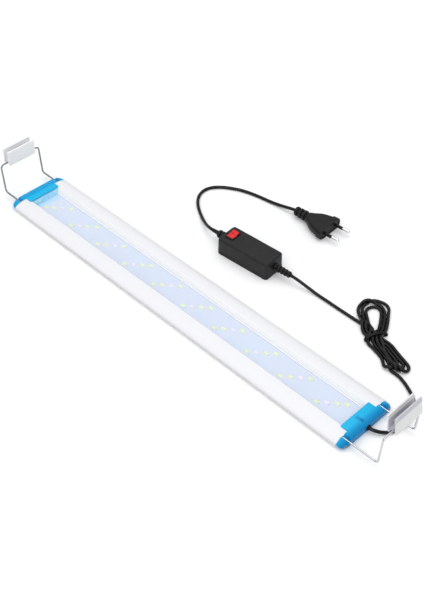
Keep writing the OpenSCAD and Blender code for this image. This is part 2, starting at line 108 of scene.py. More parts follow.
def make_studio():
    """A soft sky that is darker at the horizon, two large lamps and the floor."""
    scene = bpy.context.scene
    scene.view_settings.view_transform = "Standard"
    world = bpy.data.worlds.new("studio")
    world.use_nodes = True
    scene.world = world
    nodes, links = world.node_tree.nodes, world.node_tree.links
    coords = nodes.new("ShaderNodeTexCoord")
    split = nodes.new("ShaderNodeSeparateXYZ")
    ramp = nodes.new("ShaderNodeValToRGB")
    ramp.color_ramp.interpolation = "EASE"
    horizon, overhead = ramp.color_ramp.elements
    horizon.position = 0.12
    horizon.color = (0.2, 0.2, 0.21, 1)
    overhead.position = 0.66
    overhead.color = (0.98, 0.99, 1.0, 1)
    links.new(coords.outputs["Generated"], split.inputs[0])
    links.new(split.outputs["Z"], ramp.inputs["Fac"])
    links.new(ramp.outputs["Color"], nodes["Background"].inputs["Color"])
    soft_light("key", (-0.2, 0.3, 2.1), (0.0, 0.05, 0.0), 2.0, 10, (1, 0.99, 0.98))
    soft_light("fill", (0.7, -1.5, 1.3), (0.0, 0.0, 0.0), 1.8, 10)
    make_floor()


def make_floor():
    """A plain pale floor, 50 m across so that no view reaches its edge."""
    half = 25
    mesh = bpy.data.meshes.new("floor")
    corners = [(-half, -half, 0), (half, -half, 0), (half, half, 0), (-half, half, 0)]
    mesh.from_pydata(corners, [], [(0, 1, 2, 3)])
    floor = placed("floor", mesh)
    mesh.materials.append(surface("floor_paper", (250, 250, 250), 0.9, tone=0.004, tone_scale=3))


# ---- Materials ----

# How much finer the changes of gloss are than those of tone, and the relief's depth in metres
SMUDGE_SCALE = 2.3
GRAIN_DEPTH = 0.0002


def linear(colour):
    """A display colour, 0 to 255, as linear light."""
    parts = [c / 255 for c in colour]
    return tuple(c / 12.92 if c <= 0.04045 else ((c + 0.055) / 1.055) ** 2.4 for c in parts)


def noise(tree, scale, detail, stretch):
    """The output of a noise texture in the piece's own space."""
    coords = tree.nodes.new("ShaderNodeTexCoord")
    mapping = tree.nodes.new("ShaderNodeMapping")
    texture = tree.nodes.new("ShaderNodeTexNoise")
    mapping.inputs["Scale"].default_value = stretch
    texture.inputs["Scale"].default_value = scale
    texture.inputs["Detail"].default_value = detail
    tree.links.new(coords.outputs["Object"], mapping.inputs["Vector"])
    tree.links.new(mapping.outputs["Vector"], texture.inputs["Vector"])
    return texture.outputs["Fac"]


def remapped(tree, source, low, high, start=0, end=1):
    """A node that maps the range from low to high on to the one from start to end."""
    node = tree.nodes.new("ShaderNodeMapRange")
    for socket, value in (("From Min", low), ("From Max", high), ("To Min", start), ("To Max", end)):
        node.inputs[socket].default_value = value
    tree.links.new(source, node.inputs["Value"])
    return node


def spread_over(tree, factor, low, high):
    """The noise factor mapped on to the range from low to high."""
    return remapped(tree, factor, 0.3, 0.7, low, high).outputs["Result"]


def worked(tree, kind, operation, source, second=None):
    """The outputs of a maths node on the source and, where it takes two, a fixed second operand."""
    node = tree.nodes.new(kind)
    node.operation = operation
    tree.links.new(source, node.inputs[0])
    if second is not None:
        node.inputs[1].default_value = second
    return node.outputs


def mix_over(tree, socket, colour, factor):
    """Lays a colour over what feeds the socket, where the factor is 1."""
    mix = tree.nodes.new("ShaderNodeMix")
    mix.data_type = "RGBA"
    mix.inputs["A"].default_value = socket.default_value
    mix.inputs["B"].default_value = (*colour, 1)
    if socket.is_linked:
        tree.links.new(socket.links[0].from_socket, mix.inputs["A"])
    tree.links.new(factor, mix.inputs["Factor"])
    tree.links.new(mix.outputs["Result"], socket)


def surface(name, colour, roughness, other=None, tone=0.1, tone_scale=300, stretch=(1, 1, 1),
            grain=0.0, grain_scale=1500, grain_stretch=(1, 1, 1), rough_vary=0.05, **sockets):
    """A surface whose colour, gloss and relief all vary over it; other is its second colour."""
    material = bpy.data.materials.new(name)
    material.use_nodes = True
    tree = material.node_tree
    shader = tree.nodes["Principled BSDF"]
    first = linear(colour)
    second = linear(other) if other else tuple(min(1, c * (1 + tone)) for c in first)
    if not other:
        first = tuple(c * (1 - tone) for c in first)
    base = shader.inputs["Base Color"]
    base.default_value = (*first, 1)
    patches = noise(tree, tone_scale, 4, stretch)
    mix_over(tree, base, second, spread_over(tree, patches, 0, 1))
    smudges = noise(tree, tone_scale * SMUDGE_SCALE, 2, stretch)
    low, high = max(0.02, roughness - rough_vary), min(1, roughness + rough_vary)
    tree.links.new(spread_over(tree, smudges, low, high), shader.inputs["Roughness"])
    if grain:
        bump = tree.nodes.new("ShaderNodeBump")
        bump.inputs["Strength"].default_value = grain
        bump.inputs["Distance"].default_value = GRAIN_DEPTH
        tree.links.new(noise(tree, grain_scale, 3, grain_stretch), bump.inputs["Height"])
        tree.links.new(bump.outputs["Normal"], shader.inputs["Normal"])
    for socket, value in sockets.items():
        shader.inputs[socket.replace("_", " ")].default_value = value
    return material


def plain_finishes():
    """The finishes with no shading of their own, by slot: colour, roughness and the rest."""
    plastic = {"grain": 0.25, "grain_scale": 2600}
    dull = {"Specular_IOR_Level": 0.28}
    dull_plastic = {**plastic, **dull}
    return {
        "white_led": ((230, 240, 168), 0.3, dict(other=(244, 250, 204), tone_scale=420, grain=0.1)),
        "blue_led": ((240, 226, 240), 0.3, dict(other=(248, 238, 248), tone_scale=420, grain=0.1)),
        "clear_acrylic": ((222, 230, 246), 0.08, dict(other=(226, 236, 248), tone_scale=12, rough_vary=0.02,
            Alpha=0.12, IOR=1.49)),
        "lead_wire": ((120, 22, 26), 0.42, plastic),
        # The sealant's cyan is painted glow, standing in for light from the blue cap shining through it.
        "clear_sealant": ((150, 222, 255), 0.25, dict(other=(180, 232, 255), tone_scale=260, grain=0.35,
            grain_scale=420, Alpha=0.9)),
        "screw_steel": ((150, 152, 156), 0.28, dict(tone=0.08, grain=0.2, Metallic=1.0)),
        "black_rubber": ((24, 24, 25), 0.55, dull_plastic),
        "driver_black": ((27, 27, 28), 0.52, dict(other=(32, 31, 33), tone_scale=60, grain=0.6,
            grain_scale=2400, **dull)),
        "circuit_board": ((24, 92, 48), 0.35, dict(tone=0.15, tone_scale=350, grain=0.2)),
        "transformer_tape": ((214, 176, 40), 0.3, dict(tone=0.08, tone_scale=200, stretch=(1, 1, 6),
            grain=0.2)),
        "capacitor_sleeve": ((26, 30, 70), 0.25, dict(tone_scale=200, grain=0.1)),
        "ferrite": ((70, 70, 74), 0.7, dict(tone=0.12, tone_scale=500, grain=0.5)),
        "switch_black": ((14, 15, 15), 0.35, dict(tone_scale=200, **dull_plastic)),
        "switch_red": ((205, 20, 24), 0.3, dict(other=(222, 34, 34), tone_scale=160, grain=0.12,
            Specular_IOR_Level=0.35, Subsurface_Weight=0.1, Subsurface_Scale=0.001)),
        "contact_metal": ((200, 196, 184), 0.3, dict(tone=0.08, tone_scale=400, Metallic=1.0)),
        "relief_rubber": ((16, 16, 17), 0.46, dict(tone=0.12, tone_scale=250, **dull_plastic)),
        "cord_black": ((7, 7, 8), 0.27, dict(tone=0.15, tone_scale=180, grain=0.3, grain_scale=1200,
            **dull)),
        "tie_black": ((8, 8, 9), 0.42, dict(tone=0.2, tone_scale=500, **dull_plastic)),
        "plug_black": ((17, 17, 18), 0.5, dict(tone=0.08, tone_scale=120, grain=0.5, grain_scale=2200,
            **dull)),
        "pin_metal": ((236, 236, 236), 0.14, dict(tone=0.03, grain=0.1, grain_scale=2500,
            Metallic=1.0)),
        "sleeve_black": ((12, 12, 13), 0.4, dull_plastic),
    }


def make_materials():
    """Every finish of the object, by its slot in the record."""
    return {
        **{slot: surface(slot, colour, roughness, **rest)
           for slot, (colour, roughness, rest) in plain_finishes().items()},
        "white_aluminium": white_aluminium(),
        "board_white": board_white(),
        "blue_plastic": blue_plastic(),
        "stainless_wire": stainless_wire(),
        "white_plastic": white_plastic(),
    }


def shaded_by(material, colour, factor):
    """Lays another colour over a material's own, where the factor is 1."""
    tree = material.node_tree
    mix_over(tree, tree.nodes["Principled BSDF"].inputs["Base Color"], linear(colour), factor)


def ramp_along(material, start, end, about=None, axis="X"):
    """A factor that rises from 0 to 1 between two places on an axis, or two distances from a place."""
    tree = material.node_tree
    coords = tree.nodes.new("ShaderNodeTexCoord")
    split = tree.nodes.new("ShaderNodeSeparateXYZ")
    tree.links.new(coords.outputs["Object"], split.inputs[0])
    place = split.outputs[axis]
    if about is not None:
        place = worked(tree, "ShaderNodeMath", "SUBTRACT", place, about * MM)[0]
        place = worked(tree, "ShaderNodeMath", "ABSOLUTE", place)[0]
    return remapped(tree, place, start * MM, end * MM).outputs["Result"]


def spot_at(material, centre, size, strength):
    """A factor that fades from its strength at a point to 0 at a distance of 1 size."""
    tree = material.node_tree
    vector = "ShaderNodeVectorMath"
    coords = tree.nodes.new("ShaderNodeTexCoord")
    away = worked(tree, vector, "SUBTRACT", coords.outputs["Object"], [c * MM for c in centre])[0]
    away = worked(tree, vector, "DIVIDE", away, [s * MM for s in size])[0]
    fade = remapped(tree, worked(tree, vector, "LENGTH", away)["Value"], 0, 1, strength, 0)
    fade.interpolation_type = "SMOOTHSTEP"
    return fade.outputs["Result"]


def white_aluminium():
    """White powder coat, with painted light that brightens the walls of the channel and painted shade that
    darkens the noses.
    """
    material = surface("white_aluminium", (230, 230, 233), 0.42, tone=0.01, tone_scale=40,
                       stretch=(0.03, 1, 1), grain=0.12, grain_scale=2200, grain_stretch=(0.08, 1, 1),
                       Coat_Weight=0.1, Coat_Roughness=0.3)
    # Painted light: the channel's walls are painted paler, standing in for the light they catch.
    shaded_by(material, (248, 248, 248), ramp_along(material, RIDGE_Y + 0.5, RIDGE_Y - 0.1, 0, "Y"))
    # Painted shade: the noses are painted darker, standing in for the shade on their down-turned sides.
    shaded_by(material, (212, 212, 215), ramp_along(material, HALF_WIDTH - 1.4, HALF_WIDTH - 0.2, 0, "Y"))
    return material


def white_plastic():
    """Moulded white plastic, with painted light that makes the left clip paler and painted shade that greys
    the inside between each clip's walls.
    """
    material = surface("white_plastic", (226, 226, 226), 0.42, tone=0.012, tone_scale=70, grain=0.25,
                       grain_scale=2600)
    # Painted light: the left clip is painted paler, standing in for the light it catches.
    shaded_by(material, (244, 243, 242), ramp_along(material, 0, -SHELL_X))
    wall_inside, wall_blend = 3.7, 0.5
    # Painted shade: the inside between each clip's walls is painted grey, standing in for the shade there.
    for clip, grey in (("left_foot_clip", (236, 236, 238)), ("right_foot_clip", (192, 192, 199))):
        low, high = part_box(clip)
        between = ramp_along(material, wall_inside + wall_blend, wall_inside, (low.x + high.x) / 2 / MM)
        shaded_by(material, grey, between)
    return material


def board_white():
    """The board's white lacquer, with a painted cyan glow towards the left cap, standing in for light from
    the blue cap and the sealant.
    """
    material = surface("board_white", (214, 219, 235), 0.4, other=(212, 223, 238), tone_scale=16,
                       grain=0.1, grain_scale=900)
    # Painted glow: cyan light from the left cap painted on the board, which also lightens the sealant's
    # shadow.
    shaded_by(material, (168, 226, 255), ramp_along(material, 21 - SHELL_X, 11 - SHELL_X))
    return material


def stainless_wire():
    """Drawn wire, with painted shade that darkens its reflection where it stands out of the lamp's left end.
    """
    material = surface("stainless_wire", (206, 207, 209), 0.14, tone=0.08, tone_scale=260, rough_vary=0.04,
                       grain=0.15, grain_scale=3000, grain_stretch=(0.1, 0.1, 0.1), Metallic=1.0)
    # Painted shade: the left end's wire is painted darker, standing in for the darker reflection it shows
    # there.
    shaded_by(material, (150, 151, 152), ramp_along(material, -SHELL_X + 8, -SHELL_X - 4))
    return material


def blue_plastic():
    """Blue plastic: pale in the cap's thin tab, deep in its strip, with painted light on the left cap's
    strip and painted shade over the leads.
    """
    material = surface("blue_plastic", (3, 126, 184), 0.26, other=(5, 132, 192), tone_scale=60,
                       grain=0.12, grain_scale=700, Specular_IOR_Level=0.12)
    shaded_by(material, (34, 178, 226), ramp_along(material, SHELL_X + 5, SHELL_X - 2, 0))
    # Painted light: the left cap's strip is painted paler, standing in for the light it catches.
    shaded_by(material, (22, 158, 212), ramp_along(material, -SHELL_X, -SHELL_X - 2))
    # Painted shade: darker spots over the leads, standing in for the shade where they lie under the cap's
    # roof.
    shaded_by(material, (20, 92, 168), spot_at(material, (SHELL_X - 3, -1.8, CAP_TOP), (4.5, 4, 9), 0.55))
    shaded_by(material, (22, 72, 150), spot_at(material, (SHELL_X + 1, -1.2, CAP_TOP), (4, 3.2, 9), 0.75))
    return material


# ---- Mesh tools ----

def join(*parts):
    """Several solids, each (points, faces), as one."""
    points, faces = [], []
    for part_points, part_faces in parts:
        start = len(points)
        points += [tuple(p) for p in part_points]
        faces += [tuple(start + i for i in face) for face in part_faces]
    return points, faces


def moved(solid, matrix):
    """The solid after a move or a turn."""
    return [tuple(matrix @ Vector(p)) for p in solid[0]], solid[1]


def mirrored(solid):
    """The solid's mirror image at the other end of the lamp."""
    return [(-x, y, z) for x, y, z in solid[0]], solid[1]


def loft(rings):
    """A closed skin over rings with equally many points."""
    size, last = len(rings[0]), len(rings) - 1
    points = [tuple(p) for ring in rings for p in ring]
    faces = [
        (a * size + k, a * size + (k + 1) % size, (a + 1) * size + (k + 1) % size, (a + 1) * size + k)
        for a in range(last)
        for k in range(size)
    ]
    ends = [tuple(range(size))[::-1], tuple(last * size + k for k in range(size))]
    return points, faces + ends


def lathe(profile, sides):
    """A solid of revolution about X from (x, radius) pairs."""
    turns = [2 * math.pi * k / sides for k in range(sides)]
    return loft([[(x, r * math.cos(t), r * math.sin(t)) for t in turns] for x, r in profile])


def slab(low, high):
    """A box between two corners, as a cutter."""
    (x0, y0, z0), (x1, y1, z1) = low, high
    return loft([[(x0, y0, z), (x1, y0, z), (x1, y1, z), (x0, y1, z)] for z in (z0, z1)])


def rod(start, length, d):
    """A cylinder along X."""
    return moved(lathe([(0, d / 2), (length, d / 2)], 32), Matrix.Translation(start))


def rounded_ring(length, width, radius, z, steps=8):
    """A rectangle with round corners, as a ring at one height."""
    centres = [(1, 1, 0), (-1, 1, 90), (-1, -1, 180), (1, -1, 270)]
    return [
        (
            sx * (length / 2 - radius) + radius * math.cos(math.radians(a + 90 * i / steps)),
            sy * (width / 2 - radius) + radius * math.sin(math.radians(a + 90 * i / steps)),
            z,
        )
        for sx, sy, a in centres
        for i in range(steps + 1)
    ]


def resampled(path, spacing):
    """The path again with its points an even distance apart."""
    path = np.array(path, float)
    along = np.concatenate([[0], np.cumsum(np.linalg.norm(np.diff(path, axis=0), axis=1))])
    at = np.linspace(0, along[-1], max(2, round(along[-1] / spacing) + 1))
    return np.stack([np.interp(at, along, path[:, k]) for k in range(3)], axis=1)


def curve_through(route, spacing):
    """A Catmull-Rom curve through the route's points, evenly sampled."""
    p = np.array(route, float)
    p = np.vstack([2 * p[0] - p[1], p, 2 * p[-1] - p[-2]])
    t = np.linspace(0, 1, 16, endpoint=False)[:, None]
    fine = [
        0.5 * (2 * b + (c - a) * t + (2 * a - 5 * b + 4 * c - d) * t**2 + (3 * b - a - 3 * c + d) * t**3)
        for a, b, c, d in zip(p, p[1:], p[2:], p[3:])
    ]
    return resampled(np.vstack([*fine, p[-2:-1]]), spacing)


def tube(path, radius, sides=14, flat=1.0):
    """A tube along a path; radius may be one per point, and flat squeezes it across its path."""
    path = np.array(path, float)
    radii = np.broadcast_to(radius, len(path))
    ahead = np.gradient(path, axis=0)
    ahead /= np.linalg.norm(ahead, axis=1)[:, None]
    side = np.cross(ahead[0], (0, 0, 1.0) if abs(ahead[0][2]) < 0.9 else (1.0, 0, 0))
    turns = [2 * math.pi * k / sides for k in range(sides)]
    rings = []
    for point, forward, r in zip(path, ahead, radii):
        side = side - forward * (side @ forward)
        side = side / np.linalg.norm(side)
        up = np.cross(side, forward)
        rings.append([point + r * (math.cos(t) * up * flat + math.sin(t) * side) for t in turns])
    return loft(rings)


def solid_mesh(name, solid):
    """The solid as a mesh in metres, with its faces turned outwards."""
    mesh = bpy.data.meshes.new(name)
    mesh.from_pydata([Vector(p) * MM for p in solid[0]], [], solid[1])
    work = bmesh.new()
    work.from_mesh(mesh)
    bmesh.ops.recalc_face_normals(work, faces=work.faces)
    work.to_mesh(mesh)
    work.free()
    return mesh


def piece(name, solid, slot, body="root", replaces=(), sharp=38):
    """A mesh piece in its place, with its finish, its body and the CAD nodes that it stands for."""
    made = placed(name, solid_mesh(name, solid))
    made.data.materials.append(materials[slot])
    smooth(made.data, sharp)
    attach(made, body)
    if replaces:
        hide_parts(*replaces)
    return made


def smooth(mesh, sharp):
    """Smooth shading, except across edges with more than this many degrees between their faces."""
    mesh.polygons.foreach_set("use_smooth", [True] * len(mesh.polygons))
    mesh.set_sharp_from_angle(angle=math.radians(sharp))


def shaped(made, added=(), cut=(), sharp=38):
    """The piece with solids added to it and cut from it."""
    tools = []
    for solid, operation in [(s, "UNION") for s in added] + [(s, "DIFFERENCE") for s in cut]:
        tool = placed("tool", solid_mesh("tool", solid))
        tools.append(tool)
        step = made.modifiers.new(operation, "BOOLEAN")
        step.operation = operation
        step.solver = "EXACT"
        step.object = tool
    result = bpy.data.meshes.new_from_object(made.evaluated_get(bpy.context.evaluated_depsgraph_get()))
    made.modifiers.clear()
    made.data = result
    for tool in tools:
        bpy.data.objects.remove(tool)
    smooth(result, sharp)
    return made


def soften(made, width, angle=40):
    """Rounds the piece's edges that turn by more than this many degrees."""
    bevel = made.modifiers.new("edges", "BEVEL")
    bevel.width = width * MM
    bevel.segments = 2
    bevel.limit_method = "ANGLE"
    bevel.angle_limit = math.radians(angle)
    bevel.harden_normals = True


def dress(node, slot, edge):
    """Gives a CAD node its finish and, where it shows, rounded edges."""
    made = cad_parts[node]
    for place in made.material_slots:
        place.material = materials[slot]
    if edge:
        weld = made.modifiers.new("weld", "WELD")
        weld.merge_threshold = 1e-6
        flat = made.modifiers.new("flats", "DECIMATE")
        flat.decimate_type = "DISSOLVE"
        flat.angle_limit = math.radians(0.5)
        soften(made, edge)


# ---- Cords ----

# Routes from the lamp's cable end, in metres; the last figure is the height
NEAR_ROUTE = [
    (0.0009, 0, 0.0046), (0.0036, 0.0004, 0.0045), (0.0076, 0.0023, 0.0039),
    (0.0118, 0.0058, 0.0029), (0.0156, 0.011, 0.0021), (0.0184, 0.018, 0.0017),
    (0.0198, 0.0255, 0.0017), (0.0198, 0.033, 0.0017), (0.018, 0.0405, 0.0017),
    (0.0148, 0.0475, 0.0017), (0.01, 0.0538, 0.0017), (0.004, 0.059, 0.0017),
    (-0.004, 0.0636, 0.0017), (-0.013, 0.0676, 0.0017), (-0.024, 0.071, 0.0017),
]
FAR_ROUTE = [
    (-0.2116, 0.0921, 0.01), (-0.1787, 0.0944, 0.0098), (-0.1717, 0.0955, 0.0086),
    (-0.1645, 0.0968, 0.0064), (-0.157, 0.098, 0.0041), (-0.149, 0.0987, 0.0024),
    (-0.1405, 0.099, 0.0017), (-0.131, 0.0989, 0.0017), (-0.121, 0.0987, 0.0017),
    (-0.1105, 0.0986, 0.0017), (-0.099, 0.0986, 0.0017), (-0.089, 0.0984, 0.0017),
]
MAINS_ROUTE = [
    (-0.2865, 0.0886, 0.01), (-0.292, 0.0893, 0.0094), (-0.2985, 0.0917, 0.0072),
    (-0.307, 0.096, 0.0046), (-0.316, 0.101, 0.0026), (-0.325, 0.1064, 0.0018),
    (-0.3335, 0.112, 0.0018), (-0.3413, 0.1188, 0.0018), (-0.3474, 0.1276, 0.0018),
    (-0.3498, 0.1376, 0.0018), (-0.347, 0.147, 0.0018), (-0.3398, 0.1552, 0.0018),
    (-0.3302, 0.1618, 0.0018), (-0.32, 0.1668, 0.0018), (-0.3085, 0.1704, 0.0018),
    (-0.297, 0.1728, 0.0018), (-0.2854, 0.1746, 0.0018), (-0.274, 0.1762, 0.0026),
    (-0.262, 0.1778, 0.0044), (-0.2546, 0.1785, 0.0059), (-0.2486, 0.1788, 0.0069),
]
# The cords' diameters, and the distance between their points
LAMP_CORD_D = 3.4
MAINS_CORD_D = 3.6
CORD_STEP = 1.8

# The hank's place, its upper and lower layer's heights and where the tie stands along it
HANK = Matrix.Translation((CABLE_END - 64, 98.5, 0)) @ Matrix.Rotation(math.radians(-30), 4, "Z")
HIGH, LOW = 6.4, 1.9
WAIST = -0.5
# Each loop's reach from the tie, the radius of its bend and how far aside the bend lies
WIDE_LOOPS = [(-40, 8.4, 5), (-48.5, 13.6, 8), (-48.5, 12.6, 2.6)]
FOLDED_LOOPS = [(49.5, 6.2, 4.2), (47, 6.2, 0.2), (44, 6.2, -5.4)]
# Where the strands pass the tie, across the hank, and how far they splay as they leave it
UPPER_PASSES = [-9.5, -1.8, -5.6, -12]
LOWER_PASSES = [-2.6, -6.4, -10.2]
UPPER_SPLAY, LOWER_SPLAY, LAST_SPLAY = 3, 2, 8
# The radius under which a bend is evened out
TIGHTEST_BEND = 6.6

# The driver's place and size, where the cords leave its end walls (aside and up) and the plug's place
DRIVER = Matrix.Translation((CABLE_END - 233, 90, 0)) @ Matrix.Rotation(math.radians(4), 4, "Z")
DRIVER_LENGTH, DRIVER_WIDTH, DRIVER_HEIGHT = 67.0, 27.8, 20.6
MAINS_EXIT, OUTPUT_EXIT = (2.3, 10), (0.6, 10)
PLUG = Matrix.Translation((CABLE_END - 248.6, 178.8, 6.9)) @ Matrix.Rotation(math.radians(3), 4, "Z")


def from_cable_end(route):
    """A route's points in millimetres from the lamp's middle."""
    return [(x / MM + CABLE_END, y / MM, z / MM) for x, y, z in route]


def loop_points(loop, enter, leave, start_z, end_z):
    """One loop of the hank: out on its far side, round its bend and back on its near side."""
    reach, radius, lean = loop
    straight = abs(reach) - radius
    # How early the strands draw apart, how late they are at their widest and when the height changes
    opening, pinch, wait = (0.75, 1, 0.5) if reach < 0 else (1, 1.6, 0.25)

    def side(base, edge):
        """One side of the loop, between the tie and its bend."""
        line = []
        for t in np.linspace(0, 1, 8)[1:-1]:
            spread = math.sin(math.pi / 2 * t) ** opening
            line.append((straight * t, base * (1 - spread) + lean * t**1.5 * spread + edge * spread**pinch))
        return line

    angles = np.linspace(0, math.pi, 9)
    bend = [(straight + radius * math.sin(a), lean + radius * math.cos(a)) for a in angles]
    outline = side(enter, radius) + bend + side(leave, -radius)[::-1]
    points = []
    for (along, across), t in zip(outline, np.linspace(0, 1, len(outline))):
        climb = min(max(2 * t - wait, 0), 1)
        height = start_z + (end_z - start_z) * (3 * climb**2 - 2 * climb**3)
        points.append((WAIST + math.copysign(along, reach), across, height))
    return points


def hank_route():
    """The cord's way through the hank, from the near cord to the far one."""
    lead_in = [(41, -4.8, 1.7), (33, -5.4, 1.7), (24, -6.2, 1.7), (15, -7.6, 2.2), (7, -9.2, 4.4)]
    lead_out = [(-2, -11.4, 3.5), (-9, -9.8, 1.9), (-15, -9.6, 1.8)]
    route = []
    passes = zip(WIDE_LOOPS, FOLDED_LOOPS, UPPER_PASSES, LOWER_PASSES, UPPER_PASSES[1:])
    for wide, folded, upper, lower, after in passes:
        route.append((WAIST, upper, HIGH))
        route += loop_points(wide, upper + UPPER_SPLAY, lower - LOWER_SPLAY, HIGH, LOW)
        route.append((WAIST, lower, LOW))
        splay = LAST_SPLAY if after == UPPER_PASSES[-1] else UPPER_SPLAY
        route += loop_points(folded, lower + LOWER_SPLAY, after - splay, LOW, HIGH)
    return [tuple(HANK @ Vector(p)) for p in lead_in + route + lead_out]


def push_apart(path, free, first, second, apart):
    """The path with those pairs of its points that are too close moved away from each other."""
    between = path[first] - path[second]
    far = np.linalg.norm(between, axis=1)
    push = np.clip(apart - far, 0, None) * 0.5
    push = between / np.maximum(far, 1e-6)[:, None] * push[:, None]
    shift = np.zeros_like(path)
    share = np.zeros(len(path))
    touching = (far < apart).astype(float)
    np.add.at(shift, first, push)
    np.add.at(shift, second, -push)
    np.add.at(share, first, touching)
    np.add.at(share, second, touching)
    return path + shift / np.maximum(share, 1)[:, None] ** 0.6 * free


def even_bends(path, free):
    """Evens out all bends a little, and the too tight ones strongly."""
    gentle, strong = 0.04, 0.4
    sag = CORD_STEP**2 / (2 * TIGHTEST_BEND)
    bend = (path[:-2] + path[2:]) / 2 - path[1:-1]
    over = np.clip(1 - sag / np.maximum(np.linalg.norm(bend, axis=1), 1e-9), 0, 1)[:, None]
    bend = bend * (gentle + strong * over)
    path[1:-1] += bend * free[1:-1]
    path[:-2] -= 0.5 * bend * free[:-2]
    path[2:] -= 0.5 * bend * free[2:]


def keep_lengths(path, free, rest):
    """Draws each point's distance to the next one back towards what it was at rest."""
    step = np.diff(path, axis=0)
    size = np.linalg.norm(step, axis=1)[:, None]
    fix = step * (size - rest) / size * 0.4
    path[:-1] += fix * free[:-1]
    path[1:] -= fix * free[1:]


def settle(path, free, d):
    """Lets the strands down on to each other: a diameter apart, at their length, none under the floor."""
    rounds, falling, search_every = 320, 272, 12
    fall, pull_home = 0.05, 0.02
    apart, in_reach = d * 1.03, 2.2 * d
    neighbours = math.ceil(1.6 * d / CORD_STEP)
    home = path.copy()
    rest = np.linalg.norm(np.diff(path, axis=0), axis=1)[:, None]
    for turn in range(rounds):
        if turn % search_every == 0:
            gaps = np.linalg.norm(path[:, None] - path[None], axis=2)
            first, second = np.nonzero(np.triu(gaps < in_reach, neighbours))
        path = push_apart(path, free, first, second, apart)
        if turn <= falling:
            path[:, 2:] -= fall * free
            path[:, :2] += pull_home * (home - path)[:, :2] * free
        for _ in range(3):
            even_bends(path, free)
        for _ in range(2):
            keep_lengths(path, free, rest)
        path[:, 2] = np.maximum(path[:, 2], d / 2)
    return path


def cord_curve(name, path, d, nodes):
    """A round cord along the path, as one open spline."""
    data = bpy.data.curves.new(name, "CURVE")
    data.dimensions = "3D"
    data.bevel_depth = d / 2 * MM
    data.bevel_resolution = 4
    data.use_fill_caps = True
    spline = data.splines.new("POLY")
    spline.points.add(len(path) - 1)
    spline.points.foreach_set("co", np.hstack([path * MM, np.ones((len(path), 1))]).ravel())
    made = placed(name, data)
    data.materials.append(materials["cord_black"])
    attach(made, "root")
    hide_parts(*nodes)
    return made


def lamp_cord():
    """The whole lamp cord: lamp, hank and driver. Only what lies between its held ends settles."""
    near, far = from_cable_end(NEAR_ROUTE), from_cable_end(FAR_ROUTE)
    path = curve_through(near + hank_route() + far[::-1], CORD_STEP)
    held = np.array([near[-2], far[-1]])
    start, end = np.linalg.norm(path[:, None] - held[None], axis=2).argmin(0)
    free = np.zeros((len(path), 1))
    free[start:end] = 1
    return settle(path, free, LAMP_CORD_D)


def mains_cord():
    """The mains cord, from inside the driver's end wall to inside the plug's neck."""
    inside = [tuple(DRIVER @ Vector((2 - DRIVER_LENGTH / 2, *MAINS_EXIT)))]
    held = [tuple(PLUG @ Vector((6, 0, 0)))]
    return curve_through(inside + from_cable_end(MAINS_ROUTE) + held, CORD_STEP)


def support_outline(reach, turns):
    """The outline whose tangent lines stand at these distances in these directions."""
    points = []
    for a in range(len(turns)):
        b = (a + 1) % len(turns)
        normals = np.array([[math.cos(turns[t]), math.sin(turns[t])] for t in (a, b)])
        points.append(np.linalg.solve(normals, [reach[a], reach[b]]))
    return np.array(points)


def twist_tie(strands):
    """A tie wound twice round the hank's waist, its ends twisted together and standing up."""
    wire, flatness = 0.75, 0.8
    tail, tail_length, twist, lean = 0.55, 7.5, 1.5, Vector((-0.42, 0.35, 0.72))
    waist = HANK @ Matrix.Translation((WAIST, -6, 0)) @ Matrix.Rotation(math.radians(6), 4, "Z")
    local = np.array([waist.inverted() @ Vector(p) for p in strands])
    crossing = local[(np.abs(local[:, 0]) < 2.2) & (np.abs(local[:, 1]) < 18)]
    turns = np.radians(np.arange(0, 360, 10))
    middle = (crossing.max(0) + crossing.min(0)) / 2
    rays = np.stack([np.cos(turns), np.sin(turns)], axis=1)
    reach = ((crossing[:, 1:] - middle[1:]) @ rays.T).max(0) + LAMP_CORD_D / 2 + wire
    hull = support_outline(reach, turns)
    hull[:, 1] = np.maximum(hull[:, 1], wire - middle[2])
    # Two turns and a sixth, from the top, that move along the hank as they go round
    quarter, count = len(hull) // 4, 2 * len(hull) + len(hull) // 6
    begin, advance = -1.1, 2.6
    ring = [(begin + advance * i / count, *(hull[(i + quarter) % len(hull)] + middle[1:]))
            for i in range(count)]
    parts = [tube([waist @ Vector(p) for p in curve_through(ring, 0.8)], wire, 10, flatness)]
    start = Vector((0.2, middle[1] + 1, middle[2] + hull[:, 1].max() - 0.6))
    for phase in (0, math.pi):
        line = []
        for s in np.linspace(0, tail_length, 36):
            turn = twist * s + phase
            line.append(waist @ (start + lean * s + tail * Vector((math.cos(turn), math.sin(turn), 0))))
        parts.append(tube(line, tail, 8))
    return join(*parts)


# ---- Lamp body ----

def wing(inner, outer, top, edge, steps=26):
    """The top of a wing and its rounded nose, as part of a squared-off ellipse."""
    flat, round_in = 2.6, 1 / 1.6
    rounds = [math.sin(math.pi / 2 * i / steps) for i in range(steps + 1)]
    return [(inner + t * (outer - inner), edge + (top - edge) * (1 - t**flat) ** round_in) for t in rounds]


def underside(inner, outer, edge, lift, steps=14):
    """The lower half of a nose, from its edge in to the flat back."""
    rounds = [math.cos(math.pi / 2 * i / steps) for i in range(1, steps + 1)]
    return [(inner + t * (outer - inner), lift + (edge - lift) * (1 - math.sqrt(1 - t * t))) for t in rounds]


def both_sides(half):
    """An outline's right half and its mirror image on the left."""
    return half + [(-y, z) for y, z in reversed(half)]


def eased(corners, radius):
    """An open outline with its inner corners rounded, each by less than half an edge."""
    steps = 4
    out = [corners[0]]
    for before, here, after in zip(corners, corners[1:], corners[2:]):
        p, a, b = Vector(here), Vector(before), Vector(after)
        cut = min(radius, (a - p).length / 2.1, (b - p).length / 2.1)
        start, end = p + (a - p).normalized() * cut, p + (b - p).normalized() * cut
        for i in range(steps + 1):
            t = i / steps
            out.append(tuple(start * (1 - t) ** 2 + p * 2 * t * (1 - t) + end * t * t))
    return out + [corners[-1]]


